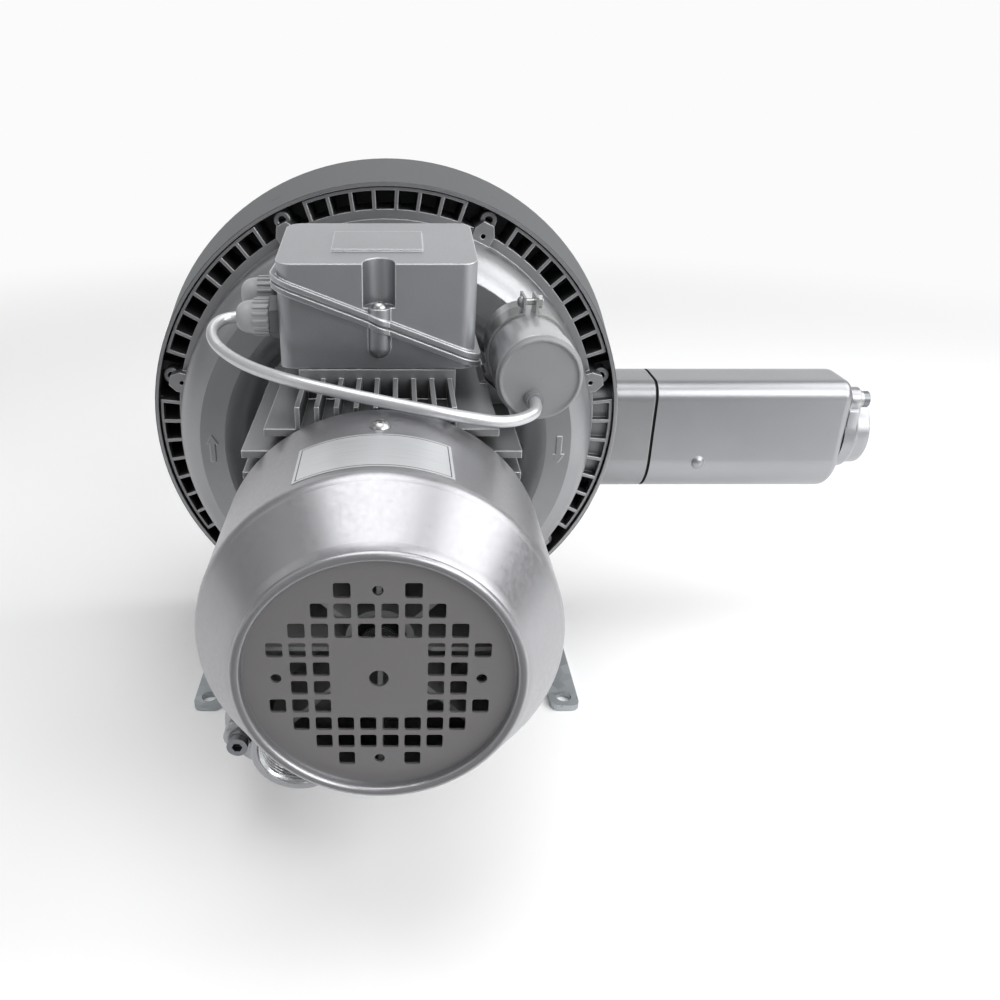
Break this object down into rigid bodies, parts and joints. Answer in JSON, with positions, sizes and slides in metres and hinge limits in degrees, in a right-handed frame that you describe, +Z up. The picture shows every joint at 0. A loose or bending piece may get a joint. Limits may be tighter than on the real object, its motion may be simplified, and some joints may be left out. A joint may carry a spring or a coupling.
{
  "type": "side channel blower",
  "caption": "Side channel blower: finned motor with fan cover and terminal box on a ring casing with a ribbed rim, and two box silencers with threaded ports.",
  "frame": {"origin": "on the floor, at the centre of the four foot holes, under the shaft", "axes": "+Z up, -Y towards the fan cover, +Y towards the casing, +X towards the outlet silencer"},
  "size_m": [0.5805, 0.4046, 0.39],
  "materials": {
    "cast_aluminium": "silver lacquer, satin",
    "motor_casting": "silver lacquer, matt",
    "cover_sheet": "silver lacquer, satin",
    "box_casting": "silver lacquer, fine texture",
    "impeller_alloy": "machined casting",
    "bearing_steel": "ground",
    "shaft_steel": "turned",
    "lamination_steel": "oiled laminations",
    "copper": "enamelled wire",
    "zinc_steel": "zinc plated",
    "frame_steel": "dark lacquer",
    "foil": "brushed foil, blank",
    "seal_rubber": "matt",
    "fan_plastic": "moulded",
    "gland_plastic": "moulded, pale grey",
    "cap_plastic": "moulded, grey",
    "block_plastic": "moulded, dark",
    "cable_sheath": "silver grey sheath",
    "foam": "open-cell foam"
  },
  "bodies": {
    "blower": {"foot_rails": "frame_steel", "cross_plate": "frame_steel", "casing_legs": "cast_aluminium", "leg_bolts": "zinc_steel", "leg_screws": "zinc_steel", "casing_housing": "cast_aluminium", "casing_cover": "cast_aluminium", "cover_bolts": "zinc_steel", "front_bearing_outer_race": "bearing_steel", "rear_bearing_outer_race": "bearing_steel", "shaft_seal": "seal_rubber", "stator_core": "lamination_steel", "stator_windings": "copper", "motor_frame": "motor_casting", "drive_end_shield": "motor_casting", "shield_screws": "zinc_steel", "flange_bolts": "zinc_steel", "rear_end_shield": "motor_casting", "fan_cover": "cover_sheet", "fan_cover_screws": "zinc_steel", "nameplate": "foil", "terminal_box_base": "box_casting", "terminal_box_gasket": "seal_rubber", "terminal_box_lid": "box_casting", "terminal_box_screws": "zinc_steel", "terminal_block": "block_plastic", "terminal_studs": "copper", "gland_bodies": "gland_plastic", "gland_nuts": "gland_plastic", "gland_seals": "seal_rubber", "capacitor_can": "impeller_alloy", "capacitor_cap": "cap_plastic", "capacitor_grommet": "cap_plastic", "capacitor_bracket": "zinc_steel", "capacitor_clamp": "zinc_steel", "clamp_screw": "zinc_steel", "capacitor_cable": "cable_sheath", "outlet_silencer": "cast_aluminium", "outlet_foam": "foam", "outlet_flange": "cast_aluminium", "inlet_silencer": "cast_aluminium", "inlet_foam": "foam", "inlet_flange": "cast_aluminium", "silencer_gaskets": "seal_rubber", "silencer_screws": "zinc_steel", "port_flange_bolts": "zinc_steel"},
    "rotor": {"motor_shaft": "shaft_steel", "rotor_core": "lamination_steel", "rotor_cage": "impeller_alloy", "front_bearing_inner_race": "bearing_steel", "rear_bearing_inner_race": "bearing_steel", "impeller": "impeller_alloy", "impeller_key": "shaft_steel", "impeller_washer": "zinc_steel", "impeller_bolt": "zinc_steel", "cooling_fan": "fan_plastic", "fan_circlip": "shaft_steel"},
    "front_ball_set": {"front_bearing_balls": "bearing_steel"},
    "rear_ball_set": {"rear_bearing_balls": "bearing_steel"}
  },
  "joints": [
    {"name": "rotor_spin", "type": "hinge", "parent": "blower", "child": "rotor", "pos_m": [0, 0, 0.2], "axis": [0, 1, 0], "continuous": true},
    {"name": "front_balls_spin", "type": "hinge", "parent": "blower", "child": "front_ball_set", "pos_m": [0, 0, 0.2], "axis": [0, 1, 0], "continuous": true},
    {"name": "rear_balls_spin", "type": "hinge", "parent": "blower", "child": "rear_ball_set", "pos_m": [0, 0, 0.2], "axis": [0, 1, 0], "continuous": true}
  ],
  "couplings": [
    {"joint": "front_balls_spin", "follows": "rotor_spin", "ratio": 0.3971},
    {"joint": "rear_balls_spin", "follows": "rotor_spin", "ratio": 0.3971}
  ]
}
